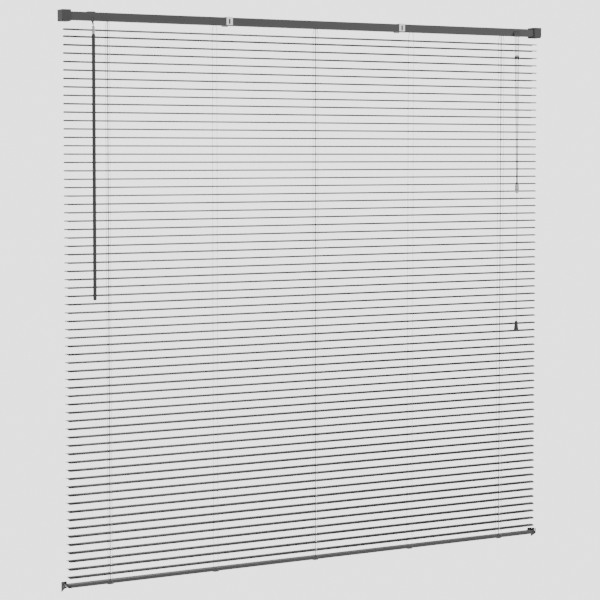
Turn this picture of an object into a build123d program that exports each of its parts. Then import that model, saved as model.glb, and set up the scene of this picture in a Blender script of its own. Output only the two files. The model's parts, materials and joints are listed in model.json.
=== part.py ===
from build123d import *
import os
from math import cos, radians, sin

# Venetian blind, 140 x 140 cm, with 25 mm slats.
# X runs along the slats, the window side is +Y, and Z is up.
# The origin is the middle of the wall screws, on the wall plane y = 0.

# ---- driving dimensions, mm ----
WIDTH = 1400  # across the end brackets
DROP = 1400  # headrail's top to the bottom rail's underside
SLAT_LENGTH = 1380
SLAT_DEPTH = 25
SLAT_GAUGE = 0.3
SLAT_CROWN = 1.6
SLAT_CORNER = 5
SLAT_PITCH = 20.26
TOP_SLAT_GAP = 16.94  # the ladder's first rung sits a little closer
BAND_SIZES = [10, 10, 10, 9, 9, 9, 10]  # slats that share a pair of ladder nodes

RAIL_DEPTH = 25
MID_Y = -16.5  # middle of the headrail, the slats and the bottom rail
HEAD_HEIGHT = 20
HEAD_GAUGE = 0.6
HEAD_TOP = 9.5
HEAD_BOTTOM = HEAD_TOP - HEAD_HEIGHT
HEAD_LENGTH = 1392
HEAD_LIP = 3.6

STATION_FIRST = 0.0815  # first ladder, as a share of the slat's length
STATION_STEP = 0.20925
STATIONS = [SLAT_LENGTH * (STATION_FIRST + STATION_STEP * n - 0.5) for n in range(5)]
CORD_STATIONS = STATIONS[0::2]
STRING_RADIUS = 0.5
STRING_REACH = 13.1  # ladder string to the slat's middle
LIFT_CORD_RADIUS = 0.7
ROUT_LENGTH = 14  # slot in each slat for the lift cord
ROUT_WIDTH = 5

BOTTOM_RAIL_HEIGHT = 7
BOTTOM_RAIL_LENGTH = 1366
BOTTOM_RAIL_GAUGE = 0.9
RAIL_LOW = HEAD_TOP - DROP
RAIL_MID = RAIL_LOW + BOTTOM_RAIL_HEIGHT / 2
RAIL_CAP = 7
PIN_RADIUS = 1.5

BRACKET_WIDTH = 23
BRACKET_DEPTH = 30
BRACKET_HALF = 14  # half its height
BRACKET_WALL = 1.5
SCREW_RADIUS = 2.1
SCREW_SPACING = 14
DOOR_WALL = 1.5
HINGE_Y = -28.4
HINGE_Z = -12.3
HINGE_PIN = 0.8
HINGE_BARREL = 1.55

ROD_ACROSS = 5
ROD_Z = 0.6
DRUM_GROOVE = 6.0
DRUM_FLANGE = 7.0
DRUM_HALF = 7
JOURNAL_RADIUS = 3.6
RUNNING_GAP = 0.08

TILTER_X = -621
TILTER_LEAN = 20  # degrees from vertical, towards the room
WORM_RADIUS = 2.3
GEAR_TEETH = 10
GEAR_RADIUS = 5.0
WORM_OFFSET = 7.7
WORM_END = 4.2
HOOK_DROP = 31.4  # worm's middle to the wand's pivot, along the leaning shaft
SHAFT_RADIUS = 1.2
SLEEVE_OUTER = 3.4
SLEEVE_INNER = 2.7
SLEEVE_LENGTH = 18
WAND_ACROSS = 8
WAND_LENGTH = 645

LOCK_X = 619
CORD_SPREAD = 5.7  # between the pull cords where they leave the lock
CORD_Y = -25.2  # plane of the cords inside the headrail
CORD_LEVELS = [-2.0, -4.2, -6.4]
OUTLET_Y = -31.6
OUTLET_Z = -10
PULL_Y = -36  # the joiner and the tassel hang just in front of the slats
PULL_RADIUS = 0.7
PULL_TOP = -13.5
STOP_TOP = -62.5
STOP_LENGTH = 12
JOINER_TOP = -415
JOINER_LENGTH = 25
TASSEL_TOP = -791
TASSEL_LENGTH = 24

os.makedirs("parts", exist_ok=True)


def save(piece, name):
    """Labels one sub-part and writes it as its own STEP file."""
    piece.part.label = name
    export_step(piece.part, f"parts/{name}.step")


# ---- slats ----
with BuildPart() as slat:
    with BuildSketch(Plane.YZ) as slat_section:
        with BuildLine():
            ThreePointArc(
                (-SLAT_DEPTH / 2, -SLAT_CROWN / 2),
                (0, SLAT_CROWN / 2),
                (SLAT_DEPTH / 2, -SLAT_CROWN / 2),
            )
            offset(amount=SLAT_GAUGE / 2)
        make_face()
    extrude(amount=SLAT_LENGTH / 2, both=True)
    with BuildSketch(Plane.XY) as slat_outline:
        RectangleRounded(SLAT_LENGTH, SLAT_DEPTH, SLAT_CORNER)
    extrude(amount=SLAT_CROWN, both=True, mode=Mode.INTERSECT)
    with BuildSketch(Plane.XY) as slat_slots:
        with Locations(*[(x, 0) for x in CORD_STATIONS]):
            SlotOverall(ROUT_LENGTH, ROUT_WIDTH, rotation=90)
    extrude(amount=SLAT_CROWN, both=True, mode=Mode.SUBTRACT)

LOWEST_SLAT_GAP = SLAT_PITCH + 0.4
SLAT_COUNT = sum(BAND_SIZES)
SLAT_LEVELS = [RAIL_MID + LOWEST_SLAT_GAP + SLAT_PITCH * n for n in range(SLAT_COUNT - 1)]
SLAT_LEVELS = [SLAT_LEVELS[-1] + TOP_SLAT_GAP] + SLAT_LEVELS[::-1]


def band_levels(number):
    """Heights of one band's slats, the highest first."""
    first = sum(BAND_SIZES[:number])
    return SLAT_LEVELS[first : first + BAND_SIZES[number]]


for number in range(len(BAND_SIZES)):
    with BuildPart() as slat_band:
        with Locations(*[(0, MID_Y, z) for z in band_levels(number)]):
            add(slat.part)
    save(slat_band, f"slats_{number + 1}")

# ---- ladder strings: front and rear, in lengths that match the slat bands ----
for number in range(len(BAND_SIZES)):
    levels = band_levels(number)
    top = levels[0] + TOP_SLAT_GAP / 2
    last = number == len(BAND_SIZES) - 1
    bottom = RAIL_MID if last else band_levels(number + 1)[0] + TOP_SLAT_GAP / 2 + 0.2
    for side, name in ((-1, "front"), (1, "rear")):
        with BuildPart() as strings:
            with BuildSketch(Plane.XY.offset(bottom)) as string_section:
                with Locations(*[(x, MID_Y + side * STRING_REACH) for x in STATIONS]):
                    Circle(STRING_RADIUS)
            extrude(amount=top - bottom)
        save(strings, f"ladder_{name}_{number + 1}")

# ---- headrail: an open-topped channel with its lips turned in ----
HEAD_MID = (HEAD_TOP + HEAD_BOTTOM) / 2
NOSE_WIDTH = 3 * CORD_SPREAD + 2
NOSE_TOP = 1.8
HEAD_INNER = RAIL_DEPTH - 2 * HEAD_GAUGE

with BuildPart() as headrail:
    with BuildSketch(Plane.YZ) as channel:
        with Locations((MID_Y, HEAD_MID)):
            RectangleRounded(RAIL_DEPTH, HEAD_HEIGHT, 1)
            Rectangle(HEAD_INNER, HEAD_HEIGHT - 2 * HEAD_GAUGE, mode=Mode.SUBTRACT)
        with Locations((MID_Y, HEAD_TOP)):
            Rectangle(RAIL_DEPTH - 2 * HEAD_LIP, 2 * HEAD_GAUGE + 1, mode=Mode.SUBTRACT)
    extrude(amount=HEAD_LENGTH / 2, both=True)
    with BuildSketch(Plane.XY.offset(HEAD_BOTTOM - 1)) as ladder_openings:
        with Locations(*[(x, MID_Y) for x in STATIONS]):
            RectangleRounded(9, 18, 2)
    extrude(amount=3, mode=Mode.SUBTRACT)
    with Locations((TILTER_X, MID_Y - RAIL_DEPTH / 2, HEAD_BOTTOM)):
        Box(8.4, 11, 14, mode=Mode.SUBTRACT)
    with Locations((LOCK_X, MID_Y - RAIL_DEPTH / 2, HEAD_BOTTOM)):
        Box(NOSE_WIDTH + 0.4, 1.8, 2 * (NOSE_TOP + 0.3 - HEAD_BOTTOM), mode=Mode.SUBTRACT)
save(headrail, "headrail")

for side, name in ((-1, "left"), (1, "right")):
    with BuildPart() as head_cap:
        with BuildSketch(Plane.YZ.offset(side * HEAD_LENGTH / 2)) as cap_face:
            with Locations((MID_Y, HEAD_MID)):
                RectangleRounded(RAIL_DEPTH, HEAD_HEIGHT, 1)
        extrude(amount=side * 1.2)
        with BuildSketch(Plane.YZ.offset(side * HEAD_LENGTH / 2)) as cap_plug:
            with Locations((MID_Y, HEAD_MID - 0.5)):
                RectangleRounded(HEAD_INNER - 0.2, HEAD_HEIGHT - 3, 1)
                RectangleRounded(HEAD_INNER - 3.2, HEAD_HEIGHT - 6, 1, mode=Mode.SUBTRACT)
        extrude(amount=-side * 7)
    save(head_cap, f"headrail_cap_{name}")

# ---- end brackets: boxes with a hinged door, screwed to the wall or the ceiling ----
BRACKET_INSIDE = BRACKET_WIDTH - BRACKET_WALL
LEDGE_HEIGHT = HEAD_BOTTOM + BRACKET_HALF - BRACKET_WALL
KNUCKLE_LENGTH = BRACKET_WIDTH - 2 * BRACKET_WALL - 0.6

for side, name in ((-1, "left"), (1, "right")):
    outer = side * WIDTH / 2
    middle = side * (WIDTH / 2 - BRACKET_WIDTH / 2)
    inner_middle = side * (WIDTH / 2 - BRACKET_WALL - BRACKET_INSIDE / 2)
    with BuildPart() as bracket:
        with Locations((middle, -BRACKET_DEPTH / 2, 0)):
            Box(BRACKET_WIDTH, BRACKET_DEPTH, 2 * BRACKET_HALF)
        with Locations((inner_middle, -BRACKET_DEPTH / 2 - BRACKET_WALL, 0)):
            Box(BRACKET_INSIDE, BRACKET_DEPTH, 2 * (BRACKET_HALF - BRACKET_WALL), mode=Mode.SUBTRACT)
        with Locations(*[(middle, y, -BRACKET_HALF + BRACKET_WALL) for y in (-9, -22)]):
            Box(BRACKET_WIDTH, 2, LEDGE_HEIGHT, align=(Align.CENTER, Align.CENTER, Align.MIN))
        with Locations((middle, -BRACKET_DEPTH, -BRACKET_HALF)):
            Box(BRACKET_WIDTH - 2 * BRACKET_WALL, 10, 8, mode=Mode.SUBTRACT)
        ear_x = side * (WIDTH / 2 - BRACKET_WIDTH + BRACKET_WALL / 2)
        with Locations((ear_x, -BRACKET_DEPTH, -BRACKET_HALF)):
            Box(BRACKET_WALL, 6, 3.3, align=(Align.CENTER, Align.MIN, Align.MIN))
        with BuildSketch(Plane.XZ.offset(-1)) as wall_screws:
            with Locations(*[(middle, z) for z in (-SCREW_SPACING / 2, SCREW_SPACING / 2)]):
                Circle(SCREW_RADIUS)
        extrude(amount=5, mode=Mode.SUBTRACT)
        with BuildSketch(Plane.XY.offset(BRACKET_HALF - 3)) as ceiling_screws:
            with Locations(*[(middle, y) for y in (-22, -22 + SCREW_SPACING)]):
                Circle(SCREW_RADIUS)
        extrude(amount=5, mode=Mode.SUBTRACT)
        with BuildSketch(Plane.YZ.offset(outer - side * (BRACKET_WIDTH + 1))) as hinge_bore:
            with Locations((HINGE_Y, HINGE_Z)):
                Circle(HINGE_PIN)
        extrude(amount=side * (BRACKET_WIDTH + 2), mode=Mode.SUBTRACT)
    save(bracket, f"bracket_{name}")

    with BuildPart() as door:
        with BuildSketch(Plane.XZ.offset(BRACKET_DEPTH + 0.4)) as door_face:
            with Locations((middle, (BRACKET_HALF - 10.8) / 2)):
                RectangleRounded(BRACKET_WIDTH, BRACKET_HALF + 10.8, 1.2)
        extrude(amount=DOOR_WALL)
        with BuildSketch(Plane.YZ.offset(middle)) as door_knuckle:
            with Locations((HINGE_Y, HINGE_Z)):
                Circle(HINGE_BARREL)
            with Locations((HINGE_Y - 1.75, HINGE_Z)):
                Rectangle(3.5, 3)
            with Locations((HINGE_Y - 2.75, HINGE_Z + 1.5)):
                Rectangle(1.5, 3)
            with Locations((HINGE_Y, HINGE_Z)):
                Circle(HINGE_PIN + RUNNING_GAP, mode=Mode.SUBTRACT)
        extrude(amount=KNUCKLE_LENGTH / 2, both=True)
        with Locations((middle, -BRACKET_DEPTH - 0.4, BRACKET_HALF - 4)):
            Box(8, 1.4, 1.2, align=(Align.CENTER, Align.MIN, Align.CENTER))
    save(door, f"door_{name}")

with BuildPart() as door_pins:
    for side in (-1, 1):
        with BuildSketch(Plane.YZ.offset(side * (WIDTH / 2 - BRACKET_WIDTH))) as pin_section:
            with Locations((HINGE_Y, HINGE_Z)):
                Circle(HINGE_PIN)
        extrude(amount=side * BRACKET_WIDTH)
save(door_pins, "door_pins")

# ---- support brackets: steel straps from the wall over the headrail ----
SUPPORT_WIDTH = 17
SUPPORT_WALL = 1.2
SUPPORT_X = [-253, 253]
STRAP_BACK = MID_Y + RAIL_DEPTH / 2
STRAP_FRONT = MID_Y - RAIL_DEPTH / 2 - 0.2
STRAP_TOP = HEAD_TOP + 0.2

for number, x in enumerate(SUPPORT_X, 1):
    with BuildPart() as support:
        with BuildSketch(Plane.YZ.offset(x)) as strap_side:
            with BuildLine():
                strap = Polyline(
                    (-SUPPORT_WALL / 2, -12),
                    (-SUPPORT_WALL / 2, STRAP_TOP + SUPPORT_WALL / 2),
                    (STRAP_FRONT - SUPPORT_WALL / 2, STRAP_TOP + SUPPORT_WALL / 2),
                    (STRAP_FRONT - SUPPORT_WALL / 2, HEAD_BOTTOM + 1.6),
                )
                offset(strap, amount=SUPPORT_WALL / 2, kind=Kind.INTERSECTION)
            make_face()
        extrude(amount=SUPPORT_WIDTH / 2, both=True)
        with BuildSketch(Plane.XZ.offset(-STRAP_FRONT - 2)) as strap_slot:
            with Locations((x, HEAD_MID)):
                SlotOverall(14, 5, rotation=90)
        extrude(amount=6, mode=Mode.SUBTRACT)
        with BuildSketch(Plane.XZ.offset(-1)) as strap_screw:
            with Locations((x, 0)):
                Circle(SCREW_RADIUS)
        extrude(amount=4, mode=Mode.SUBTRACT)
    save(support, f"support_bracket_{number}")

# ---- tilt rod, ladder drums and their cradles ----
ROD_AXIS = Plane(origin=(0, MID_Y, ROD_Z), x_dir=(0, 1, 0), z_dir=(1, 0, 0))
ROD_START = TILTER_X - 11
ROD_END = STATIONS[-1] + 16

with BuildPart() as tilt_rod:
    with BuildSketch(ROD_AXIS.offset(ROD_START)) as rod_section:
        RegularPolygon(ROD_ACROSS / 2, 6, major_radius=False)
    extrude(amount=ROD_END - ROD_START)
save(tilt_rod, "tilt_rod")

with BuildPart() as drums:
    for x in STATIONS:
        with BuildSketch(ROD_AXIS.offset(x - DRUM_HALF - 3)) as journal:
            Circle(JOURNAL_RADIUS)
        extrude(amount=2 * DRUM_HALF + 6)
        with BuildSketch(ROD_AXIS.offset(x - DRUM_HALF)) as flanges:
            Circle(DRUM_FLANGE)
        extrude(amount=2 * DRUM_HALF)
        with BuildSketch(ROD_AXIS.offset(x - DRUM_HALF + 1.5)) as groove:
            Circle(DRUM_FLANGE + 1)
            Circle(DRUM_GROOVE, mode=Mode.SUBTRACT)
        extrude(amount=2 * DRUM_HALF - 3, mode=Mode.SUBTRACT)
        with BuildSketch(ROD_AXIS.offset(x - DRUM_HALF - 4)) as drum_bore:
            RegularPolygon(ROD_ACROSS / 2 + 0.05, 6, major_radius=False)
        extrude(amount=2 * DRUM_HALF + 8, mode=Mode.SUBTRACT)
save(drums, "ladder_drums")

STRING_TOP = SLAT_LEVELS[0] + TOP_SLAT_GAP / 2 + 0.2
with BuildPart() as ladder_tops:
    for x in STATIONS:
        for side in (-1, 1):
            drum_y = MID_Y + side * (DRUM_GROOVE + STRING_RADIUS)
            with BuildLine() as top_line:
                FilletPolyline(
                    (x, MID_Y + side * STRING_REACH, STRING_TOP),
                    (x, drum_y, HEAD_BOTTOM + 2.5),
                    (x, drum_y, ROD_Z),
                    radius=4,
                )
            with BuildSketch(Plane(top_line.line @ 0, z_dir=top_line.line % 0)) as top_section:
                Circle(STRING_RADIUS)
            sweep(path=top_line.line)
save(ladder_tops, "ladder_tops")

FLOOR = HEAD_BOTTOM + HEAD_GAUGE
CRADLE_HALF = 10
CHEEK = 1.6
CHEEK_TOP = 6.5

with BuildPart() as cradles:
    for x in STATIONS:
        with Locations((x, MID_Y, FLOOR)):
            Box(
                2 * CRADLE_HALF, HEAD_INNER - 0.4, CHEEK_TOP - FLOOR,
                align=(Align.CENTER, Align.CENTER, Align.MIN),
            )
        with Locations((x, MID_Y, FLOOR + 1.2)):
            Box(
                2 * (CRADLE_HALF - CHEEK), HEAD_INNER, HEAD_HEIGHT,
                align=(Align.CENTER, Align.CENTER, Align.MIN), mode=Mode.SUBTRACT,
            )
        with Locations((x, CORD_Y, FLOOR + 1.2)):
            Box(
                3 * CRADLE_HALF, 6, 10.5,
                align=(Align.CENTER, Align.CENTER, Align.MIN), mode=Mode.SUBTRACT,
            )
        with BuildSketch(ROD_AXIS.offset(x - CRADLE_HALF - 1)) as bearing:
            Circle(JOURNAL_RADIUS + RUNNING_GAP)
            with Locations((0, 5)):
                Rectangle(2 * (JOURNAL_RADIUS + RUNNING_GAP), 10)
        extrude(amount=2 * CRADLE_HALF + 2, mode=Mode.SUBTRACT)
        with BuildSketch(Plane.XY.offset(FLOOR - 1)) as cord_holes:
            with Locations((x, MID_Y)):
                RectangleRounded(7, 16, 2)
        extrude(amount=3, mode=Mode.SUBTRACT)
save(cradles, "ladder_cradles")

# ---- tilter: a leaning worm turns a gear on the tilt rod ----
WORM_DIRECTION = Vector(0, sin(radians(TILTER_LEAN)), cos(radians(TILTER_LEAN)))
WORM_ASIDE = Vector(0, -cos(radians(TILTER_LEAN)), sin(radians(TILTER_LEAN)))
WORM_MIDDLE = Vector(TILTER_X, MID_Y, ROD_Z) + WORM_ASIDE * WORM_OFFSET
WORM_AXIS = Plane(origin=WORM_MIDDLE, x_dir=(1, 0, 0), z_dir=WORM_DIRECTION)
PIVOT = WORM_MIDDLE - WORM_DIRECTION * HOOK_DROP

with BuildPart() as tilter_housing:
    with Locations((TILTER_X, MID_Y, FLOOR)):
        Box(18, 17, HEAD_TOP + 2 - FLOOR, align=(Align.CENTER, Align.CENTER, Align.MIN))
        Box(
            18, HEAD_INNER - 0.2, HEAD_TOP - HEAD_GAUGE - 0.1 - FLOOR,
            align=(Align.CENTER, Align.CENTER, Align.MIN),
        )
    with BuildSketch(WORM_AXIS.offset(-17.5)) as snout:
        Circle(3.1)
    extrude(amount=8)
    with Locations((TILTER_X, MID_Y, FLOOR + 1.2)):
        Box(
            8, HEAD_INNER - 2.2, HEAD_TOP - 1.2 - FLOOR - 1.2,
            align=(Align.CENTER, Align.CENTER, Align.MIN), mode=Mode.SUBTRACT,
        )
    with BuildSketch(WORM_AXIS.offset(-18)) as shaft_bore:
        Circle(SHAFT_RADIUS + RUNNING_GAP)
    extrude(amount=30, mode=Mode.SUBTRACT)
    with BuildSketch(ROD_AXIS.offset(TILTER_X - 12)) as gear_bearing:
        Circle(JOURNAL_RADIUS + RUNNING_GAP)
    extrude(amount=24, mode=Mode.SUBTRACT)
save(tilter_housing, "tilter_housing")

with BuildPart() as tilter_gear:
    with BuildSketch(ROD_AXIS.offset(TILTER_X - 8.5)) as gear_hub:
        Circle(JOURNAL_RADIUS)
    extrude(amount=17)
    with BuildSketch(ROD_AXIS.offset(TILTER_X - 3)) as gear_teeth:
        Circle(GEAR_RADIUS - 1.2)
        with PolarLocations(GEAR_RADIUS - 0.7, GEAR_TEETH):
            Trapezoid(1.7, 2, 75, rotation=-90)
    extrude(amount=6)
    with BuildSketch(ROD_AXIS.offset(TILTER_X - 10)) as gear_bore:
        RegularPolygon(ROD_ACROSS / 2 + 0.05, 6, major_radius=False)
    extrude(amount=20, mode=Mode.SUBTRACT)
save(tilter_gear, "tilter_gear")

with BuildPart() as worm:
    with BuildSketch(WORM_AXIS.offset(-WORM_END)) as worm_core:
        Circle(WORM_RADIUS - 0.9)
    extrude(amount=WORM_END + 4.6)
    with BuildSketch(WORM_AXIS.offset(-WORM_END)) as worm_shaft:
        Circle(SHAFT_RADIUS)
    extrude(amount=WORM_END + 7.5)
    for turn in range(3):
        with BuildSketch(WORM_AXIS.offset(-3.4 + 3.1 * turn)) as thread:
            Circle(WORM_RADIUS)
        extrude(amount=1.2, taper=20)
save(worm, "worm")

with BuildPart() as wand_hook:
    with BuildSketch(WORM_AXIS.offset(-HOOK_DROP)) as hook_shaft:
        Circle(SHAFT_RADIUS)
    extrude(amount=HOOK_DROP - WORM_END)
    with Locations(PIVOT):
        Sphere(1.7)
save(wand_hook, "wand_hook")

SLEEVE_TOP = PIVOT.Z + 1.2

with BuildPart() as wand_sleeve:
    with BuildSketch(Plane((TILTER_X, PIVOT.Y, SLEEVE_TOP - SLEEVE_LENGTH))) as sleeve_ring:
        Circle(SLEEVE_OUTER)
        Circle(SLEEVE_INNER, mode=Mode.SUBTRACT)
    extrude(amount=SLEEVE_LENGTH)
save(wand_sleeve, "wand_sleeve")

WAND_TOP = SLEEVE_TOP - SLEEVE_LENGTH - 0.3

with BuildPart() as wand:
    with BuildSketch(Plane((TILTER_X, PIVOT.Y, WAND_TOP - WAND_LENGTH))) as wand_section:
        RegularPolygon(WAND_ACROSS / 2, 6, major_radius=False)
    extrude(amount=WAND_LENGTH - 4)
    with BuildSketch(Plane((TILTER_X, PIVOT.Y, WAND_TOP - 4))) as wand_shoulder:
        RegularPolygon(WAND_ACROSS / 2, 6, major_radius=False)
    with BuildSketch(Plane((TILTER_X, PIVOT.Y, WAND_TOP))) as wand_neck:
        RegularPolygon(SLEEVE_INNER - 0.4, 6, major_radius=False)
    loft()
    with BuildSketch(Plane((TILTER_X, PIVOT.Y, WAND_TOP))) as wand_stem:
        Circle(1.5)
    extrude(amount=12)
    with Locations((TILTER_X, PIVOT.Y, WAND_TOP + 4)):
        Cylinder(SLEEVE_INNER - RUNNING_GAP, 4)
save(wand, "wand")

# ---- cord lock and lift cords ----
with BuildPart() as cord_lock:
    with Locations((LOCK_X, MID_Y, FLOOR)):
        Box(
            34, HEAD_INNER - 0.2, HEAD_TOP - HEAD_GAUGE - 0.1 - FLOOR,
            align=(Align.CENTER, Align.CENTER, Align.MIN),
        )
    with BuildSketch(Plane.YZ.offset(LOCK_X)) as nose:
        with BuildLine():
            Polyline(
                (-28.2, NOSE_TOP), (OUTLET_Y - 2.8, -6.5), (OUTLET_Y - 2.8, PULL_TOP + 0.7),
                (-29.2, PULL_TOP + 0.7), (-28.2, FLOOR), close=True,
            )
        make_face()
    extrude(amount=NOSE_WIDTH / 2, both=True)
    with Locations((LOCK_X - 3, CORD_Y, FLOOR + 1.2)):
        Box(31, 4.4, 9.6, align=(Align.CENTER, Align.CENTER, Align.MIN), mode=Mode.SUBTRACT)
    with Locations((LOCK_X - 14, CORD_Y, FLOOR + 1.2)):
        Box(20, 4.4, 9.6, align=(Align.CENTER, Align.CENTER, Align.MIN), mode=Mode.SUBTRACT)
    with BuildSketch(Plane.YZ.offset(LOCK_X)) as outlet:
        with BuildLine():
            Polyline(
                (-24, 0.8), (-26, 0.8), (OUTLET_Y - 1.4, -8), (OUTLET_Y - 1.4, PULL_TOP),
                (OUTLET_Y + 1.4, PULL_TOP), (OUTLET_Y + 1.4, -11.3), (-24, -8.4), close=True,
            )
        make_face()
    extrude(amount=NOSE_WIDTH / 2 - 1.8, both=True, mode=Mode.SUBTRACT)
    with Locations((LOCK_X, CORD_Y + 5.2, -2)):
        Box(25, 8, 7, mode=Mode.SUBTRACT)
save(cord_lock, "cord_lock")

with BuildPart() as lock_roller:
    with BuildSketch(Plane.YZ.offset(LOCK_X - 12)) as roller_section:
        with Locations((CORD_Y + 4.6, -1.2)):
            Circle(2)
    extrude(amount=24)
save(lock_roller, "lock_roller")

CORD_TURN = 2.5
UNDER_DRUM = -7.7
CORD_RISE = 30  # the cord is back at its own level this far from the ladder
CORD_ASIDE = 8.5  # the cord leaves the ladder's plane as it turns under the drum
for number, x in enumerate(CORD_STATIONS):
    level = CORD_LEVELS[number]
    exit_x = LOCK_X + CORD_SPREAD * (1 - number)
    route = [
        (x, MID_Y, RAIL_LOW - 1),
        (x, MID_Y, UNDER_DRUM),
        (x + CORD_ASIDE, CORD_Y, UNDER_DRUM),
        (x + CORD_RISE, CORD_Y, level),
        (exit_x, CORD_Y, level),
        (exit_x, OUTLET_Y, OUTLET_Z),
        (exit_x, OUTLET_Y, PULL_TOP),
    ]
    with BuildPart() as lift_cord:
        with BuildLine() as cord_line:
            FilletPolyline(*route, radius=CORD_TURN)
        with BuildSketch(Plane(route[0])) as cord_section:
            Circle(LIFT_CORD_RADIUS)
        sweep()
    save(lift_cord, f"lift_cord_{number + 1}")

# ---- bottom rail ----
with BuildPart() as bottom_rail:
    with BuildSketch(Plane.YZ) as rail_section:
        with Locations((MID_Y, RAIL_MID)):
            RectangleRounded(RAIL_DEPTH, BOTTOM_RAIL_HEIGHT, 2)
            RectangleRounded(
                RAIL_DEPTH - 2 * BOTTOM_RAIL_GAUGE, BOTTOM_RAIL_HEIGHT - 2 * BOTTOM_RAIL_GAUGE,
                1.1, mode=Mode.SUBTRACT,
            )
    extrude(amount=BOTTOM_RAIL_LENGTH / 2, both=True)
    with BuildSketch(Plane.XY.offset(RAIL_LOW - 1)) as cord_knot_holes:
        with Locations(*[(x, MID_Y) for x in STATIONS]):
            Circle(3)
    extrude(amount=BOTTOM_RAIL_HEIGHT + 2, mode=Mode.SUBTRACT)
save(bottom_rail, "bottom_rail")

for side, name in ((-1, "left"), (1, "right")):
    rail_end = side * BOTTOM_RAIL_LENGTH / 2
    with BuildPart() as rail_cap:
        with BuildSketch(Plane.YZ.offset(rail_end)) as rail_cap_face:
            with Locations((MID_Y, RAIL_MID)):
                RectangleRounded(RAIL_DEPTH + 0.6, BOTTOM_RAIL_HEIGHT + 0.6, 2.2)
        extrude(amount=side * RAIL_CAP)
        with BuildSketch(Plane.YZ.offset(rail_end)) as rail_cap_plug:
            with Locations((MID_Y, RAIL_MID)):
                RectangleRounded(RAIL_DEPTH - 2 * BOTTOM_RAIL_GAUGE - 0.1, 5.1, 1)
        extrude(amount=-side * 9)
        with BuildSketch(Plane.YZ.offset(rail_end)) as pin_bore:
            with Locations((MID_Y, RAIL_MID)):
                Circle(PIN_RADIUS)
        extrude(amount=side * (RAIL_CAP + 1), mode=Mode.SUBTRACT)
    save(rail_cap, f"rail_cap_{name}")

with BuildPart() as hold_down_pins:
    for side in (-1, 1):
        with BuildSketch(Plane.YZ.offset(side * BOTTOM_RAIL_LENGTH / 2)) as hold_pin:
            with Locations((MID_Y, RAIL_MID)):
                Circle(PIN_RADIUS)
        extrude(amount=side * (WIDTH / 2 - BOTTOM_RAIL_LENGTH / 2))
save(hold_down_pins, "hold_down_pins")

with BuildPart() as ladder_plugs:
    with BuildSketch(Plane.XY.offset(RAIL_LOW - 3.5)) as plug_heads:
        with Locations(*[(x, MID_Y) for x in STATIONS]):
            SlotOverall(17, 11)
    extrude(amount=3.5)
    fillet(ladder_plugs.faces().group_by(Axis.Z)[0].edges(), 1)
    with BuildSketch(Plane.XY.offset(RAIL_LOW)) as plug_stems:
        with Locations(*[(x, MID_Y) for x in STATIONS]):
            Circle(2.9)
    extrude(amount=BOTTOM_RAIL_HEIGHT)
    with BuildSketch(Plane.XY.offset(RAIL_LOW - 2)) as plug_bores:
        with Locations(*[(x, MID_Y) for x in STATIONS]):
            Circle(1.2)
    extrude(amount=BOTTOM_RAIL_HEIGHT + 3, mode=Mode.SUBTRACT)
save(ladder_plugs, "ladder_plugs")

# ---- hold-down brackets: the rail's end pins drop into their slots ----
HOLD_TOP = RAIL_MID + 9.5
HOLD_LOW = RAIL_MID - 8
for side, name in ((-1, "left"), (1, "right")):
    with BuildPart() as hold_down:
        with BuildSketch(Plane.YZ.offset(side * (WIDTH / 2 - 1.6))) as hold_plate:
            with BuildLine():
                Polyline(
                    (0, HOLD_LOW - 9), (MID_Y - 5, HOLD_LOW + 4), (MID_Y - 5, HOLD_TOP),
                    (MID_Y + 6, HOLD_TOP), (0, HOLD_LOW + 12), close=True,
                )
            make_face()
            fillet(hold_plate.vertices().sort_by(Axis.X)[:2], 3)
            with Locations((MID_Y, RAIL_MID)):
                Circle(PIN_RADIUS + 0.5, mode=Mode.SUBTRACT)
            with Locations((MID_Y, RAIL_MID + 10)):
                Rectangle(2 * PIN_RADIUS + 0.6, 20, mode=Mode.SUBTRACT)
        extrude(amount=side * 1.6)
        with BuildSketch(Plane.XZ) as hold_flange:
            with Locations((side * (WIDTH / 2 - 7), RAIL_MID - 0.5)):
                RectangleRounded(14, 17, 1.5)
            with Locations((side * (WIDTH / 2 - 8), RAIL_MID - 0.5)):
                Circle(SCREW_RADIUS, mode=Mode.SUBTRACT)
        extrude(amount=1.6)
    save(hold_down, f"hold_down_{name}")

# ---- pull cords, their stops, the joiner and the tassel ----
JOIN_Z = JOINER_TOP - 1
JOIN_SPREAD = 1.6
with BuildPart() as pull_cords:
    for place in (-1, 0, 1):
        route = [
            (LOCK_X + place * CORD_SPREAD, OUTLET_Y, PULL_TOP),
            (LOCK_X + place * JOIN_SPREAD, PULL_Y, JOIN_Z),
        ]
        with BuildLine() as pull_line:
            Line(*route)
        with BuildSketch(Plane(route[0], z_dir=Vector(*route[1]) - Vector(*route[0]))) as pull_section:
            Circle(PULL_RADIUS)
        sweep(path=pull_line.line)
save(pull_cords, "pull_cords")

STOP_MIDDLE = STOP_TOP - STOP_LENGTH / 2
stop_share = (PULL_TOP - STOP_MIDDLE) / (PULL_TOP - JOIN_Z)
stop_spread = CORD_SPREAD + (JOIN_SPREAD - CORD_SPREAD) * stop_share
stop_y = OUTLET_Y + (PULL_Y - OUTLET_Y) * stop_share

with BuildPart() as cord_stops:
    with BuildSketch(Plane.XY.offset(STOP_TOP - STOP_LENGTH)) as stop_section:
        with Locations(*[(LOCK_X + n * stop_spread, stop_y) for n in (-1, 0, 1)]):
            Circle(2.3)
            Circle(PULL_RADIUS + 0.2, mode=Mode.SUBTRACT)
    extrude(amount=STOP_LENGTH)
save(cord_stops, "cord_stops")

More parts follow.
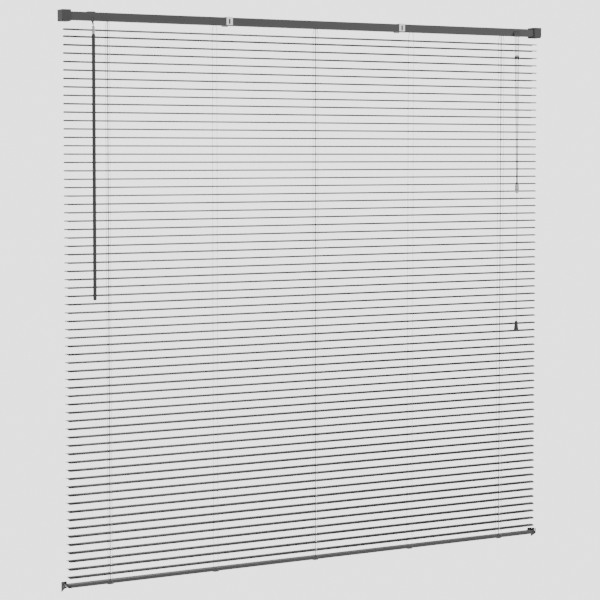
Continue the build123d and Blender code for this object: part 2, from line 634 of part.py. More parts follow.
with BuildPart() as cord_joiner:
    with BuildSketch(Plane.XZ.offset(-PULL_Y)) as joiner_profile:
        with BuildLine():
            Polyline(
                (LOCK_X, JOINER_TOP), (LOCK_X + 4.2, JOINER_TOP), (LOCK_X + 5.5, JOINER_TOP - 6),
                (LOCK_X + 5.5, JOINER_TOP - 19), (LOCK_X + 3, JOINER_TOP - JOINER_LENGTH),
                (LOCK_X, JOINER_TOP - JOINER_LENGTH), close=True,
            )
        make_face()
    revolve(axis=Axis((LOCK_X, PULL_Y, 0), (0, 0, 1)))
    with BuildSketch(Plane((LOCK_X, PULL_Y, JOINER_TOP - JOINER_LENGTH - 1))) as joiner_outlet:
        Circle(PULL_RADIUS + 0.1)
    extrude(amount=10, mode=Mode.SUBTRACT)
    with BuildSketch(Plane((LOCK_X, PULL_Y, JOINER_TOP - JOINER_LENGTH + 4))) as joiner_cavity:
        Circle(3.4)
    extrude(amount=JOINER_LENGTH, mode=Mode.SUBTRACT)
save(cord_joiner, "cord_joiner")

TAIL_TOP = JOINER_TOP - JOINER_LENGTH + 6
with BuildPart() as pull_tail:
    with BuildSketch(Plane((LOCK_X, PULL_Y, TASSEL_TOP - 8))) as tail_section:
        Circle(PULL_RADIUS)
    extrude(amount=TAIL_TOP - TASSEL_TOP + 8)
save(pull_tail, "pull_tail")

with BuildPart() as tassel:
    with BuildSketch(Plane((LOCK_X, PULL_Y, TASSEL_TOP - TASSEL_LENGTH))) as tassel_base:
        Circle(6.4)
    with BuildSketch(Plane((LOCK_X, PULL_Y, TASSEL_TOP))) as tassel_tip:
        Circle(3.4)
    loft()
    fillet(tassel.edges().sort_by(Axis.Z)[-1], 1)
    with BuildSketch(Plane((LOCK_X, PULL_Y, TASSEL_TOP - TASSEL_LENGTH))) as tassel_hollow:
        Circle(4.2)
    extrude(amount=14, mode=Mode.SUBTRACT)
    with BuildSketch(Plane((LOCK_X, PULL_Y, TASSEL_TOP - TASSEL_LENGTH))) as tassel_bore:
        Circle(PULL_RADIUS + 0.1)
    extrude(amount=TASSEL_LENGTH + 1, mode=Mode.SUBTRACT)
save(tassel, "tassel")
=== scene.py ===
"""Venetian blind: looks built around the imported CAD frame."""
import json
import math
import random

import bpy
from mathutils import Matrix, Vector


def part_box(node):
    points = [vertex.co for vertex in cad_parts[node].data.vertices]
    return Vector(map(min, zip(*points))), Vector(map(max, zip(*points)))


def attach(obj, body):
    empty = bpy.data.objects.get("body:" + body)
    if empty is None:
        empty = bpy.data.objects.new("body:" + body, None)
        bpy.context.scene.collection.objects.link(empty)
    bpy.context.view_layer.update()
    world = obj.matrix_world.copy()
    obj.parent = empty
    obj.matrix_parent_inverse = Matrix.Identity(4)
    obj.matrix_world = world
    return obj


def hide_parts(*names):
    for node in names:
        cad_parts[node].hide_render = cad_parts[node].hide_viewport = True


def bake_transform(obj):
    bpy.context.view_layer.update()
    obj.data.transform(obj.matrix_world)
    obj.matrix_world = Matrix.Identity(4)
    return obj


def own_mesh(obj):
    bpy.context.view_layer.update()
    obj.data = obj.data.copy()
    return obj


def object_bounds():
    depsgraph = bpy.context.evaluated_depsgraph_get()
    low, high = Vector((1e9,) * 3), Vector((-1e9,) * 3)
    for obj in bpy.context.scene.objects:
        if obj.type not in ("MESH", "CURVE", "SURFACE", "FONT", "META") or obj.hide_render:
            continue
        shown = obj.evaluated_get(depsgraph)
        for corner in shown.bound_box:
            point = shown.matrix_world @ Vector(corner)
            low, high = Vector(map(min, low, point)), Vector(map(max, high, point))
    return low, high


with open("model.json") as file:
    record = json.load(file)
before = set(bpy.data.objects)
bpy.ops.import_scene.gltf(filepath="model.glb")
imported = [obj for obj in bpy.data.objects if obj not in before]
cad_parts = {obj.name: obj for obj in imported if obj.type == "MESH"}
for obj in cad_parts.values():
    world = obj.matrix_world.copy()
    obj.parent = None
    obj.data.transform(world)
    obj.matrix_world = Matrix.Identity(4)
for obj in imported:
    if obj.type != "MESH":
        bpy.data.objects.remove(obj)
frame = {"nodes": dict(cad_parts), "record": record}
CAD_BOX = [list(corner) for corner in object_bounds()]
NODES = frame["nodes"]

# ---- places and sizes, in metres ----
SLAT_HALF = 0.690
SLAT_DEPTH = 0.025
SLAT_CROWN = 0.0030  # the CAD slat's crown is SOLID_CROWN
SLAT_PITCH = 0.02026
STATION_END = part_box("ladder_front_1")[1].x - 0.0005
STATIONS = [STATION_END * (n / 2 - 1) for n in range(5)]
CORD_STATIONS = STATIONS[0::2]
SOLID_CROWN = 0.0016
SOLID_GAUGE = 0.0003
BANDS = range(1, 8)
SHORT_BANDS = (4, 5, 6)  # nine slats each, where the others have ten
SLAT_LOW, SLAT_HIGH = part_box("slats_1")
MIDDLE_Y = (SLAT_LOW.y + SLAT_HIGH.y) / 2
STRING_FRONT = sum(corner.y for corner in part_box("ladder_front_1")) / 2
STRING_REAR = sum(corner.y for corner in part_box("ladder_rear_1")) / 2
HEAD_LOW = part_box("headrail")[0]
RAIL_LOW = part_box("bottom_rail")[0]


# ---- camera, first ----
CAMERA_PLACE = (-2.2900, -4.2023, -0.3353)
CAMERA_PITCH = 87  # degrees from straight down
CAMERA_HEADING = -28.2
LENS = 110.37
SHIFT = -0.0810


def make_camera():
    data = bpy.data.cameras.new("camera")
    data.lens = LENS
    data.sensor_width = 36
    data.shift_y = SHIFT
    data.clip_start, data.clip_end = 0.05, 50
    camera = bpy.data.objects.new("camera", data)
    bpy.context.scene.collection.objects.link(camera)
    camera.location = CAMERA_PLACE
    camera.rotation_euler = (math.radians(CAMERA_PITCH), 0, math.radians(CAMERA_HEADING))
    bpy.context.scene.camera = camera


make_camera()


# ---- mesh helpers ----
def new_object(name, vertices, faces, smooth=True):
    mesh = bpy.data.meshes.new(name)
    mesh.from_pydata([tuple(v) for v in vertices], [], faces)
    mesh.update()
    if smooth:
        mesh.shade_smooth()
    else:
        mesh.shade_flat()
    piece = bpy.data.objects.new(name, mesh)
    bpy.context.scene.collection.objects.link(piece)
    return piece


def tube(centres, radius, sides, vertices, faces):
    """Adds a closed tube along the points; radius is a number, or a function of the point's index."""
    base = len(vertices)
    for k, point in enumerate(centres):
        before = centres[max(k - 1, 0)]
        after = centres[min(k + 1, len(centres) - 1)]
        along = (after - before).normalized()
        side = along.cross(Vector((0.13, 0.97, 0.21))).normalized()
        other = along.cross(side)
        size = radius(k) if callable(radius) else radius
        for s in range(sides):
            turn = 2 * math.pi * s / sides
            vertices.append(point + (side * math.cos(turn) + other * math.sin(turn)) * size)
    for k in range(len(centres) - 1):
        for s in range(sides):
            a, b = base + k * sides + s, base + k * sides + (s + 1) % sides
            faces.append((a, b, b + sides, a + sides))
    faces.append(tuple(base + s for s in reversed(range(sides))))
    last = base + (len(centres) - 1) * sides
    faces.append(tuple(last + s for s in range(sides)))


def route_points(name, route):
    """Points along the smooth spline of a cord's route."""
    curve = bpy.data.curves.new(name, "CURVE")
    curve.dimensions = "3D"
    curve.resolution_u = 24
    spline = curve.splines.new("NURBS")
    spline.points.add(len(route) - 1)
    for point, place in zip(spline.points, route):
        point.co = (*place, 1)
    spline.order_u = 3
    spline.use_endpoint_u = True
    holder = bpy.data.objects.new(name, curve)
    bpy.context.scene.collection.objects.link(holder)
    bpy.context.view_layer.update()
    mesh = bpy.data.meshes.new_from_object(holder)
    points = [vertex.co.copy() for vertex in mesh.vertices]
    bpy.data.objects.remove(holder)
    bpy.data.meshes.remove(mesh)
    return points


def knot(name, centre, size, body):
    """Overhand knot: a tube on a trefoil."""
    steps = 72
    centres = []
    for k in range(steps + 1):
        t = 2 * math.pi * k / steps
        centres.append(centre + Vector((
            (math.sin(t) + 2 * math.sin(2 * t)) * size,
            (math.cos(t) - 2 * math.cos(2 * t)) * size,
            -math.sin(3 * t) * size * 1.5,
        )))
    vertices, faces = [], []
    tube(centres, CORD_RADIUS, 8, vertices, faces)
    piece = dress(new_object(name, vertices, faces), "cord")
    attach(piece, body)
    return piece


def lathe(name, centre, profile, sides=40):
    """Turned piece from (radius, height) points, closed where the radius is zero."""
    vertices, faces, rings = [], [], []
    for radius, height in profile:
        if radius == 0:
            rings.append([len(vertices)])
            vertices.append(centre + Vector((0, 0, height)))
            continue
        rings.append(list(range(len(vertices), len(vertices) + sides)))
        for s in range(sides):
            turn = 2 * math.pi * s / sides
            vertices.append(centre + Vector((radius * math.cos(turn), radius * math.sin(turn), height)))
    for low, high in zip(rings, rings[1:]):
        for s in range(sides):
            t = (s + 1) % sides
            if len(low) == 1:
                faces.append((low[0], high[t], high[s]))
            elif len(high) == 1:
                faces.append((low[s], low[t], high[0]))
            else:
                faces.append((low[s], low[t], high[t], high[s]))
    return new_object(name, vertices, faces)


# ---- materials ----
def start_material(name):
    material = bpy.data.materials.new(name)
    material.use_nodes = True
    nodes, links = material.node_tree.nodes, material.node_tree.links
    return material, nodes, links, nodes["Principled BSDF"]


def add_noise(nodes, links, scale, detail=3.0, stretch=(1, 1, 1)):
    place = nodes.new("ShaderNodeTexCoord")
    mapping = nodes.new("ShaderNodeMapping")
    mapping.inputs["Scale"].default_value = stretch
    noise = nodes.new("ShaderNodeTexNoise")
    noise.inputs["Scale"].default_value = scale
    noise.inputs["Detail"].default_value = detail
    links.new(place.outputs["Object"], mapping.inputs["Vector"])
    links.new(mapping.outputs["Vector"], noise.inputs["Vector"])
    return noise


def add_ramp(nodes, links, source, low, high, start=0.35, end=0.65):
    ramp = nodes.new("ShaderNodeValToRGB")
    ramp.color_ramp.elements[0].position = start
    ramp.color_ramp.elements[1].position = end
    ramp.color_ramp.elements[0].color = (*low, 1)
    ramp.color_ramp.elements[1].color = (*high, 1)
    links.new(source, ramp.inputs["Fac"])
    return ramp


def add_bump(nodes, links, shader, source, strength, distance):
    bump = nodes.new("ShaderNodeBump")
    bump.inputs["Strength"].default_value = strength
    bump.inputs["Distance"].default_value = distance
    links.new(source, bump.inputs["Height"])
    links.new(bump.outputs["Normal"], shader.inputs["Normal"])


def finish_rough(nodes, links, shader, source, low, high):
    spread = nodes.new("ShaderNodeMapRange")
    spread.inputs["To Min"].default_value = low
    spread.inputs["To Max"].default_value = high
    links.new(source, spread.inputs["Value"])
    links.new(spread.outputs["Result"], shader.inputs["Roughness"])


def shade(colour, factor):
    return tuple(min(1, c * factor) for c in colour)


def enamel(name, colour, rough, wear):
    """Stoved paint: faint mottling, orange peel, and edges rubbed lighter."""
    material, nodes, links, shader = start_material(name)
    cloud = add_noise(nodes, links, 26, 5, (0.25, 1, 1))
    ramp = add_ramp(nodes, links, cloud.outputs["Fac"], shade(colour, 1 - wear), shade(colour, 1 + wear))
    peel = add_noise(nodes, links, 900, 2)
    edge = nodes.new("ShaderNodeNewGeometry")
    worn = add_ramp(nodes, links, edge.outputs["Pointiness"], (0, 0, 0), (1, 1, 1), 0.52, 0.60)
    mix = nodes.new("ShaderNodeMix")
    mix.data_type = "RGBA"
    mix.inputs["B"].default_value = (*shade(colour, 1.4), 1)
    scaled = nodes.new("ShaderNodeMath")
    scaled.operation = "MULTIPLY"
    scaled.inputs[1].default_value = 0.45
    links.new(worn.outputs["Color"], scaled.inputs[0])
    links.new(scaled.outputs["Value"], mix.inputs["Factor"])
    links.new(ramp.outputs["Color"], mix.inputs["A"])
    links.new(mix.outputs["Result"], shader.inputs["Base Color"])
    finish_rough(nodes, links, shader, cloud.outputs["Fac"], rough - 0.08, rough + 0.1)
    add_bump(nodes, links, shader, peel.outputs["Fac"], 0.12, 0.0002)
    return material


def string_weave(name, colour, pitch):
    """Braided cord: diagonal strands crossing along the cord."""
    material, nodes, links, shader = start_material(name)
    place = nodes.new("ShaderNodeTexCoord")
    waves = []
    for lean in (38, -38):
        mapping = nodes.new("ShaderNodeMapping")
        mapping.inputs["Rotation"].default_value = (math.radians(lean), math.radians(lean), 0)
        wave = nodes.new("ShaderNodeTexWave")
        wave.bands_direction = "Z"
        wave.inputs["Scale"].default_value = pitch
        wave.inputs["Distortion"].default_value = 0.6
        links.new(place.outputs["Object"], mapping.inputs["Vector"])
        links.new(mapping.outputs["Vector"], wave.inputs["Vector"])
        waves.append(wave)
    cross = nodes.new("ShaderNodeMath")
    cross.operation = "MAXIMUM"
    links.new(waves[0].outputs["Fac"], cross.inputs[0])
    links.new(waves[1].outputs["Fac"], cross.inputs[1])
    ramp = add_ramp(nodes, links, cross.outputs["Value"], shade(colour, 0.55), shade(colour, 1.25), 0.1, 0.9)
    links.new(ramp.outputs["Color"], shader.inputs["Base Color"])
    shader.inputs["Roughness"].default_value = 0.85
    shader.inputs["Sheen Weight"].default_value = 0.25
    add_bump(nodes, links, shader, cross.outputs["Value"], 0.6, 0.0003)
    return material


def plastic(name, colour, rough=0.4, grain=500):
    """Moulded plastic: slight flow marks and a fine pebble."""
    material, nodes, links, shader = start_material(name)
    flow = add_noise(nodes, links, 40, 4, (1, 1, 0.3))
    ramp = add_ramp(nodes, links, flow.outputs["Fac"], shade(colour, 0.85), shade(colour, 1.15))
    links.new(ramp.outputs["Color"], shader.inputs["Base Color"])
    finish_rough(nodes, links, shader, flow.outputs["Fac"], rough - 0.06, rough + 0.1)
    pebble = add_noise(nodes, links, grain, 2)
    add_bump(nodes, links, shader, pebble.outputs["Fac"], 0.15, 0.0002)
    return material


def steel(name, colour):
    """Zinc-plated or drawn steel with fine lines along X."""
    material, nodes, links, shader = start_material(name)
    shader.inputs["Metallic"].default_value = 0.9
    lines = add_noise(nodes, links, 350, 4, (0.03, 1, 1))
    ramp = add_ramp(nodes, links, lines.outputs["Fac"], shade(colour, 0.75), shade(colour, 1.15))
    links.new(ramp.outputs["Color"], shader.inputs["Base Color"])
    finish_rough(nodes, links, shader, lines.outputs["Fac"], 0.25, 0.45)
    add_bump(nodes, links, shader, lines.outputs["Fac"], 0.15, 0.0001)
    return material


def clear_plastic(name, colour):
    material, nodes, links, shader = start_material(name)
    cloud = add_noise(nodes, links, 120, 3)
    ramp = add_ramp(nodes, links, cloud.outputs["Fac"], shade(colour, 0.92), colour)
    links.new(ramp.outputs["Color"], shader.inputs["Base Color"])
    finish_rough(nodes, links, shader, cloud.outputs["Fac"], 0.12, 0.28)
    shader.inputs["Transmission Weight"].default_value = 0.7
    shader.inputs["IOR"].default_value = 1.49
    return material


MATERIALS = {
    "slat_enamel": enamel("slat_enamel", (0.026, 0.026, 0.027), 0.46, 0.10),
    "rail_enamel": enamel("rail_enamel", (0.050, 0.050, 0.051), 0.46, 0.10),
    "bracket_enamel": enamel("bracket_enamel", (0.036, 0.036, 0.037), 0.46, 0.12),
    "support_enamel": enamel("support_enamel", (0.90, 0.89, 0.90), 0.35, 0.03),
    "hold_down_steel": enamel("hold_down_steel", (0.022, 0.022, 0.023), 0.45, 0.14),
    "ladder_string": string_weave("ladder_string", (0.30, 0.30, 0.31), 900),
    "cord": string_weave("cord", (0.07, 0.07, 0.072), 520),
    "plated_steel": steel("plated_steel", (0.56, 0.56, 0.55)),
    "end_cap_plastic": plastic("end_cap_plastic", (0.034, 0.034, 0.034), 0.45),
    "mechanism_plastic": plastic("mechanism_plastic", (0.055, 0.055, 0.055), 0.4),
    "clear_plastic": clear_plastic("clear_plastic", (0.86, 0.88, 0.89)),
    "wand_plastic": plastic("wand_plastic", (0.030, 0.030, 0.031), 0.28, 300),
    "dark_plastic": plastic("dark_plastic", (0.03, 0.03, 0.031), 0.38),
}

# every CAD node takes the material of its slot
for part in frame["record"]["subparts"]:
    mesh = NODES[part["node"]].data
    mesh.materials.clear()
    mesh.materials.append(MATERIALS[part["material_slot"]])


def dress(piece, slot):
    piece.data.materials.clear()
    piece.data.materials.append(MATERIALS[slot])
    return piece


# ---- pull cords and what hangs on them ----
OUTLET_LOW, OUTLET_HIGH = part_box("pull_cords")
LOCK_X = (OUTLET_LOW.x + OUTLET_HIGH.x) / 2
CORD_RADIUS = 0.0007
CORD_SPREAD = 0.0057
JOIN_SPREAD = 0.0016
PULL_TOP = OUTLET_HIGH.z
OUTLET_Y = OUTLET_HIGH.y - CORD_RADIUS
JOINER_LOW, JOINER_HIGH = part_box("cord_joiner")
PULL_Y = (JOINER_LOW.y + JOINER_HIGH.y) / 2
TAIL_LOW, TAIL_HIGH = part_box("pull_tail")
TASSEL_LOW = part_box("tassel")[0]


def make_stops():
    """Three moulded beads, one on each cord."""
    low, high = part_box("cord_stops")
    middle = (low + high) / 2
    share = (PULL_TOP - middle.z) / (PULL_TOP - JOINER_HIGH.z)
    spread = CORD_SPREAD + (JOIN_SPREAD - CORD_SPREAD) * share
    profile = [
        (0, -0.0056), (0.0009, -0.0056), (0.0014, -0.0052), (0.0017, -0.0035), (0.0021, -0.001),
        (0.0021, 0.001), (0.0018, 0.0026), (0.0019, 0.0031), (0.0018, 0.0038), (0.0013, 0.0052),
        (0.0009, 0.0056), (0, 0.0056),
    ]
    beads = []
    for number, place in enumerate((-1, 0, 1), 1):
        rise = 0.002 if place == 0 else -0.001
        centre = Vector((LOCK_X + place * spread, middle.y, middle.z + rise))
        bead = dress(lathe(f"cord_stop_{number}", centre, profile, 28), "dark_plastic")
        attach(bead, "pull")
        beads.append(bead)
    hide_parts("cord_stops")
    return beads


WAND_STEM = 0.0019
WAND_SHOULDER = 0.012  # below the wand's top
FOOT_ROUND = 0.0022
WAND_STEPS = 40
EDGE_TURN = 0.06  # radians between the points that soften an edge
EDGE_REACH = 0.985
EDGE_CUT = 0.022


def make_wand():
    """A hexagonal moulded wand with softened edges, a tapered neck and a rounded foot."""
    low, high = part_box("wand")
    centre = Vector(((low.x + high.x) / 2, (low.y + high.y) / 2, 0))
    wide = (high.x - low.x) / 2
    shoulder = high.z - WAND_SHOULDER
    rings = [
        (0.0, low.z), (0.35, low.z), (0.80, low.z + 0.0003), (0.94, low.z + 0.0010),
        (1.0, low.z + FOOT_ROUND),
    ]
    rings += [
        (1.0, low.z + FOOT_ROUND + (shoulder - 0.004 - low.z - FOOT_ROUND) * k / WAND_STEPS)
        for k in range(1, WAND_STEPS + 1)
    ]
    rings += [(0.98, shoulder - 0.0025), (0.86, shoulder - 0.0005), (0.62, shoulder + 0.0004)]
    rings += [(WAND_STEM / wide, shoulder + 0.0008), (WAND_STEM / wide, high.z - 0.0004), (0.0, high.z)]
    outline = []
    for corner in range(6):
        turn = math.pi / 3 * corner
        for lean in (-2, -1, 1, 2):
            angle = turn + lean * EDGE_TURN
            reach = math.cos(math.pi / 6) / math.cos(math.pi / 6 - abs(angle - turn))
            round_off = 1 - (EDGE_CUT if abs(lean) == 1 else 0.0)
            outline.append((angle, min(reach, EDGE_REACH) * round_off))
    sides = len(outline)
    vertices, faces, loops = [], [], []
    for share, z in rings:
        if share == 0:
            loops.append([len(vertices)])
            vertices.append(centre + Vector((0, 0, z)))
            continue
        loops.append(list(range(len(vertices), len(vertices) + sides)))
        hexagonal = share > 0.7
        for angle, reach in outline:
            radius = wide * share * (reach if hexagonal else 1)
            vertices.append(centre + Vector((radius * math.cos(angle), radius * math.sin(angle), z)))
    for first, second in zip(loops, loops[1:]):
        for k in range(sides):
            n = (k + 1) % sides
            if len(first) == 1:
                faces.append((first[0], second[n], second[k]))
            elif len(second) == 1:
                faces.append((first[k], first[n], second[0]))
            else:
                faces.append((first[k], first[n], second[n], second[k]))
    piece = dress(new_object("wand_body", vertices, faces, smooth=False), "wand_plastic")
    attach(piece, "wand")
    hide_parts("wand")


make_wand()
STOPS = make_stops()


def make_pull_cord(place, number):
    """One of the three cords, from the lock's outlet to the knot in the joiner."""
    top = Vector((LOCK_X + place * CORD_SPREAD, OUTLET_Y, PULL_TOP))
    end = Vector((LOCK_X + place * JOIN_SPREAD, PULL_Y, JOINER_HIGH.z - 0.001))
    belly = top.lerp(end, 0.5)
    route = [top, top - Vector((0, 0, 0.006)), belly, top.lerp(end, 0.85), end]
    centres = route_points(f"pull_route_{number}", route)
    vertices, faces = [], []
    tube(centres, CORD_RADIUS, 10, vertices, faces)
    cord = dress(new_object(f"pull_cord_{number}", vertices, faces), "cord")
    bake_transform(cord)
    return cord


PULL_CORDS = [make_pull_cord(side, index) for index, side in enumerate((-1, 0, 1), 1)]
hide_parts("pull_cords")


BALL_RADIUS = 0.0017
WORM_UP = Vector((0, 0.342, 0.9397))  # along the leaning worm


def make_hook():
    """The arm on the worm's end: a ball that carries the wand, a thin neck and a thicker top."""
    low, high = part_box("wand_hook")
    x = (low.x + high.x) / 2
    ball = Vector((x, low.y + BALL_RADIUS, low.z + BALL_RADIUS))
    route = [ball + WORM_UP * rise for rise in (0, 0.004, 0.014, 0.022)]
    centres = route_points("hook_route", route)
    vertices, faces = [], []

    def thickness(k):
        share = k / (len(centres) - 1)
        if share < 0.1:
            return BALL_RADIUS
        return 0.0010 + 0.0010 * min(1, max(0, share - 0.25) * 5)

    tube(centres, thickness, 18, vertices, faces)
    arm = dress(new_object("hook_arm", vertices, faces), "dark_plastic")
    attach(arm, "worm")
    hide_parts("wand_hook")


make_hook()


def make_tail():
    """The single cord from the joiner to the knot inside the tassel."""
    top = Vector((LOCK_X, PULL_Y, TAIL_HIGH.z))
    end = Vector((LOCK_X, PULL_Y, TAIL_LOW.z))
    sway = Vector((0.0006, 0, 0))
    route = [top, top.lerp(end, 0.3) + sway, top.lerp(end, 0.7) - sway, end]
    centres = route_points("tail_route", route)
    vertices, faces = [], []
    tube(centres, CORD_RADIUS, 10, vertices, faces)
    cord = dress(new_object("pull_tail_cord", vertices, faces), "cord")
    knots = [
        knot("joiner_knot", Vector((LOCK_X, PULL_Y, JOINER_LOW.z + 0.009)), 0.0009, "pull"),
        knot("gather_knot", Vector((LOCK_X, PULL_Y, JOINER_HIGH.z + 0.0035)), 0.0008, "pull"),
        knot("tassel_knot", Vector((LOCK_X, PULL_Y, TASSEL_LOW.z + 0.004)), 0.0009, "pull"),
    ]
    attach(cord, "pull")
    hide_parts("pull_tail")


make_tail()


# ---- slats and ladder rungs, one object per band ----
def band_levels(number):
    """Slat heights of a band, from the frame: slats stand a pitch apart from the lowest up."""
    low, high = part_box(f"slats_{number}")
    count = 9 if number in SHORT_BANDS else 10
    levels = [low.z + SOLID_CROWN / 2 + SOLID_GAUGE / 2 + SLAT_PITCH * n for n in range(count)]
    levels[-1] = high.z - SOLID_CROWN / 2 - SOLID_GAUGE / 2
    return levels


SLAT_CORNER = 0.005
DEPTH_STEPS = 14


def slat_outline():
    """Rounded corners: the slat's half-length at each step of its depth."""
    rows = []
    for k in range(DEPTH_STEPS + 1):
        y = -SLAT_DEPTH / 2 + SLAT_DEPTH * (1 - math.cos(math.pi * (k / DEPTH_STEPS))) / 2
        over = abs(y) - (SLAT_DEPTH / 2 - SLAT_CORNER)
        cut = SLAT_CORNER - math.sqrt(max(SLAT_CORNER**2 - over**2, 0)) if over > 0 else 0
        rows.append((y, SLAT_HALF - cut))
    return rows


OUTLINE = slat_outline()
GAUGE = 0.00055  # the CAD slat's is SOLID_GAUGE
ROUT_HALF_WIDTH = 0.0024
ROUT_HALF_LENGTH = 0.007
COLUMN_COUNT = 34
ROUT_CLEARANCE = 0.004
ON_EDGE = 1e-6


def rout_gap(place):
    """Distance from a place along the slat to the nearest side of a rout hole."""
    return min(abs(abs(place * SLAT_HALF - x) - ROUT_HALF_WIDTH) for x in CORD_STATIONS)


def slat_columns():
    """Places along the slat, evenly spaced, and on the sides of the rout holes with none close by."""
    places = {-1.0, 1.0}
    for n in range(1, COLUMN_COUNT):
        places.add(round(-1 + 2 * n / COLUMN_COUNT, 4))
    for x in CORD_STATIONS:
        for side in (-1, 1):
            places.add((x + side * ROUT_HALF_WIDTH) / SLAT_HALF)
    return [p for p in sorted(places) if rout_gap(p) < ON_EDGE or rout_gap(p) >= ROUT_CLEARANCE]


COLUMNS = slat_columns()


def in_rout(x, y):
    across = any(abs(x - station) < ROUT_HALF_WIDTH * 0.9 for station in CORD_STATIONS)
    return across and abs(y) < ROUT_HALF_LENGTH * 0.93


MOST_DRIFT = 0.00015
MOST_ROLL = 0.008


def add_slat(z, vertices, faces, wander):
    """A thin crowned strip with rounded corners and rout holes."""
    base = len(vertices)
    rows = len(OUTLINE)
    drift = wander.uniform(-MOST_DRIFT, MOST_DRIFT)
    roll = wander.uniform(-MOST_ROLL, MOST_ROLL)
    for layer in (1, -1):
        for place in COLUMNS:
            for y, half in OUTLINE:
                x = place * half
                crown = SLAT_CROWN * (0.5 - (2 * y / SLAT_DEPTH) ** 2)
                sag = drift + roll * y
                vertices.append(Vector((x, MIDDLE_Y + y, z + crown + sag + layer * GAUGE / 2)))
    span = rows * len(COLUMNS)
    holes = set()
    for c in range(len(COLUMNS) - 1):
        x = (COLUMNS[c] + COLUMNS[c + 1]) / 2 * SLAT_HALF
        for r in range(rows - 1):
            y = (OUTLINE[r][0] + OUTLINE[r + 1][0]) / 2
            if in_rout(x, y):
                holes.add((c, r))
    for c in range(len(COLUMNS) - 1):
        for r in range(rows - 1):
            if (c, r) in holes:
                continue
            a = base + c * rows + r
            faces.append((a, a + rows, a + rows + 1, a + 1))
            b = a + span
            faces.append((b, b + 1, b + rows + 1, b + rows))
            walls = (
                (-1, 0, a, a + 1), (1, 0, a + rows + 1, a + rows),
                (0, -1, a + rows, a), (0, 1, a + 1, a + rows + 1),
            )
            for dc, dr, p, q in walls:
                near = (c + dc, r + dr)
                outside = not (0 <= near[0] < len(COLUMNS) - 1 and 0 <= near[1] < rows - 1)
                if outside or near in holes:
                    faces.append((p, q, q + span, p + span))


RUNG_DROP = GAUGE / 2 + 0.0003  # a rung's middle under the slat's middle surface
RUNG_RADIUS = 0.00028
RUNG_SPREAD = 0.0011
RUNG_SHARES = (0, 0.06, 0.14, 0.25, 0.38, 0.5, 0.62, 0.75, 0.86, 0.94, 1)
BAND_SEED = 40


def make_band(number):
    wander = random.Random(BAND_SEED + number)
    vertices, faces = [], []
    for z in band_levels(number):
        add_slat(z, vertices, faces, wander)
    slats = dress(new_object(f"slat_band_{number}", vertices, faces), "slat_enamel")
    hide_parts(f"slats_{number}")
    vertices, faces = [], []
    for z in band_levels(number):
        for x in STATIONS:
            for side in (-1, 1):
                points = [
                    Vector((
                        x + side * RUNG_SPREAD,
                        STRING_REAR + (STRING_FRONT - STRING_REAR) * share,
                        z + SLAT_CROWN * (0.5 - (2 * share - 1) ** 2) - RUNG_DROP,
                    ))
                    for share in RUNG_SHARES
                ]
                tube(points, RUNG_RADIUS, 6, vertices, faces)
    rungs = dress(new_object(f"ladder_rungs_{number}", vertices, faces), "ladder_string")
    for piece in (slats, rungs):
        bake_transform(piece)


for band in BANDS:
    make_band(band)


# ---- ladder strings and lift cords ----
STRING_RADIUS = 0.00034
STRING_STEPS = 140
DROP_STEPS = 100


def straight_down(x, y, top, low, steps):
    return [Vector((x, y, top + (low - top) * k / steps)) for k in range(steps + 1)]


def make_strings():
    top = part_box("ladder_front_1")[1].z
    low = RAIL_LOW.z
    for side, place in (("front", STRING_FRONT), ("rear", STRING_REAR)):
        vertices, faces = [], []
        for x in STATIONS:
            centres = straight_down(x, place, top, low, STRING_STEPS)
            inward = 1 if side == "front" else -1
            centres.append(Vector((x, place + inward * 0.004, low - 0.0016)))
            centres.append(Vector((x, place + inward * 0.0085, low - 0.0022)))
            tube(centres, STRING_RADIUS, 8, vertices, faces)
        strings = dress(new_object(f"ladder_strings_{side}", vertices, faces), "ladder_string")
        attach(strings, "root")
        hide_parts(*[f"ladder_{side}_{n}" for n in BANDS])
        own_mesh(strings)


make_strings()


RUN_LEVELS = [-0.002, -0.0042, -0.0064]  # each lift cord's height in the headrail
RUN_Y = -0.0252
UNDER_DRUM = -0.0077
DROP_RADIUS = 0.0009  # thicker than CORD_RADIUS, which the CAD's lift cords have


def make_lift_cords():
    top = HEAD_LOW.z
    low = RAIL_LOW.z - 0.001
    for number, x in enumerate(CORD_STATIONS, 1):
        level = RUN_LEVELS[number - 1]
        exit_x = LOCK_X + CORD_SPREAD * (2 - number)
        route = [
            (x, MIDDLE_Y, top - 0.0005),
            (x, MIDDLE_Y, UNDER_DRUM - 0.001),
            (x + 0.001, MIDDLE_Y - 0.001, UNDER_DRUM),
            (x + 0.0075, RUN_Y + 0.001, UNDER_DRUM),
            (x + 0.010, RUN_Y, UNDER_DRUM + 0.0003),
            (x + 0.028, RUN_Y, level),
            (x + 0.031, RUN_Y, level),
            (exit_x - 0.003, RUN_Y, level),
            (exit_x, RUN_Y - 0.0005, level - 0.0003),
            (exit_x, OUTLET_Y + 0.001, -0.0095),
            (exit_x, OUTLET_Y, -0.0110),
            (exit_x, OUTLET_Y, PULL_TOP),
        ]
        centres = route_points(f"lift_route_{number}", route)
        vertices, faces = [], []
        tube(centres, CORD_RADIUS, 10, vertices, faces)
        run = dress(new_object(f"lift_cord_run_{number}", vertices, faces), "cord")
        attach(run, "root")
        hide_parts(f"lift_cord_{number}")
        vertices, faces = [], []
        centres = straight_down(x, MIDDLE_Y, top, low, DROP_STEPS)
        tube(centres, DROP_RADIUS, 10, vertices, faces)
        cord = dress(new_object(f"lift_cord_drop_{number}", vertices, faces), "cord")
        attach(cord, "root")
        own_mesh(cord)


make_lift_cords()


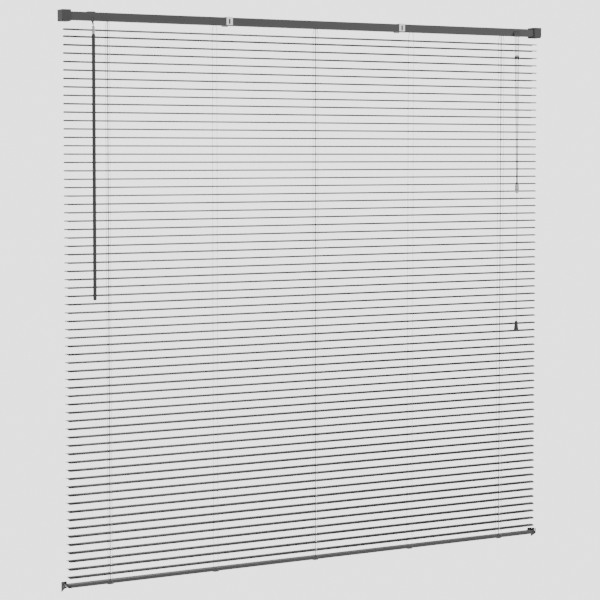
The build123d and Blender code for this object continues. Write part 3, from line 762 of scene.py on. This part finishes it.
# ---- floor and light ----
BACK_EDGE = 1.7
FLOOR_HALF = 3.4
FLOOR_DROP = 1.1  # below the object
STUDIO_STRENGTH = 0.9
BACKDROP_STRENGTH = 3.2  # what the camera sees, and nothing is lit by


def make_stage():
    level = CAD_BOX[0][2] - FLOOR_DROP
    floor = new_object(
        "floor",
        [
            (-FLOOR_HALF, -FLOOR_HALF, level), (FLOOR_HALF, -FLOOR_HALF, level),
            (FLOOR_HALF, BACK_EDGE, level), (-FLOOR_HALF, BACK_EDGE, level),
        ],
        [(0, 1, 2, 3)],
    )
    material, nodes, links, shader = start_material("floor_paint")
    cloud = add_noise(nodes, links, 2, 3)
    ramp = add_ramp(nodes, links, cloud.outputs["Fac"], (0.86, 0.86, 0.86), (0.90, 0.90, 0.90))
    links.new(ramp.outputs["Color"], shader.inputs["Base Color"])
    shader.inputs["Roughness"].default_value = 0.9
    floor.data.materials.append(material)


def add_light(name, place, aim, power, size):
    data = bpy.data.lights.new(name, "AREA")
    data.energy = power
    data.size = size
    light = bpy.data.objects.new(name, data)
    bpy.context.scene.collection.objects.link(light)
    light.location = place
    light.rotation_euler = (Vector(aim) - Vector(place)).to_track_quat("-Z", "Y").to_euler()


def make_light():
    world = bpy.data.worlds.new("studio")
    bpy.context.scene.world = world
    world.use_nodes = True
    nodes, links = world.node_tree.nodes, world.node_tree.links
    soft = nodes["Background"]
    soft.inputs["Color"].default_value = (1, 1, 1, 1)
    soft.inputs["Strength"].default_value = STUDIO_STRENGTH
    paper = nodes.new("ShaderNodeBackground")
    paper.inputs["Strength"].default_value = BACKDROP_STRENGTH
    ray = nodes.new("ShaderNodeLightPath")
    pick = nodes.new("ShaderNodeMixShader")
    links.new(ray.outputs["Is Camera Ray"], pick.inputs["Fac"])
    links.new(soft.outputs["Background"], pick.inputs[1])
    links.new(paper.outputs["Background"], pick.inputs[2])
    links.new(pick.outputs["Shader"], nodes["World Output"].inputs["Surface"])
    centre = (0, 0, -0.7)
    add_light("key", (-2.6, -3.2, 2.2), centre, 60, 2.4)
    add_light("fill", (3.2, -2.4, 0.6), centre, 30, 2.8)
    add_light("rim", (0.5, 2.8, 1.6), centre, 60, 2.4)


make_stage()
make_light()
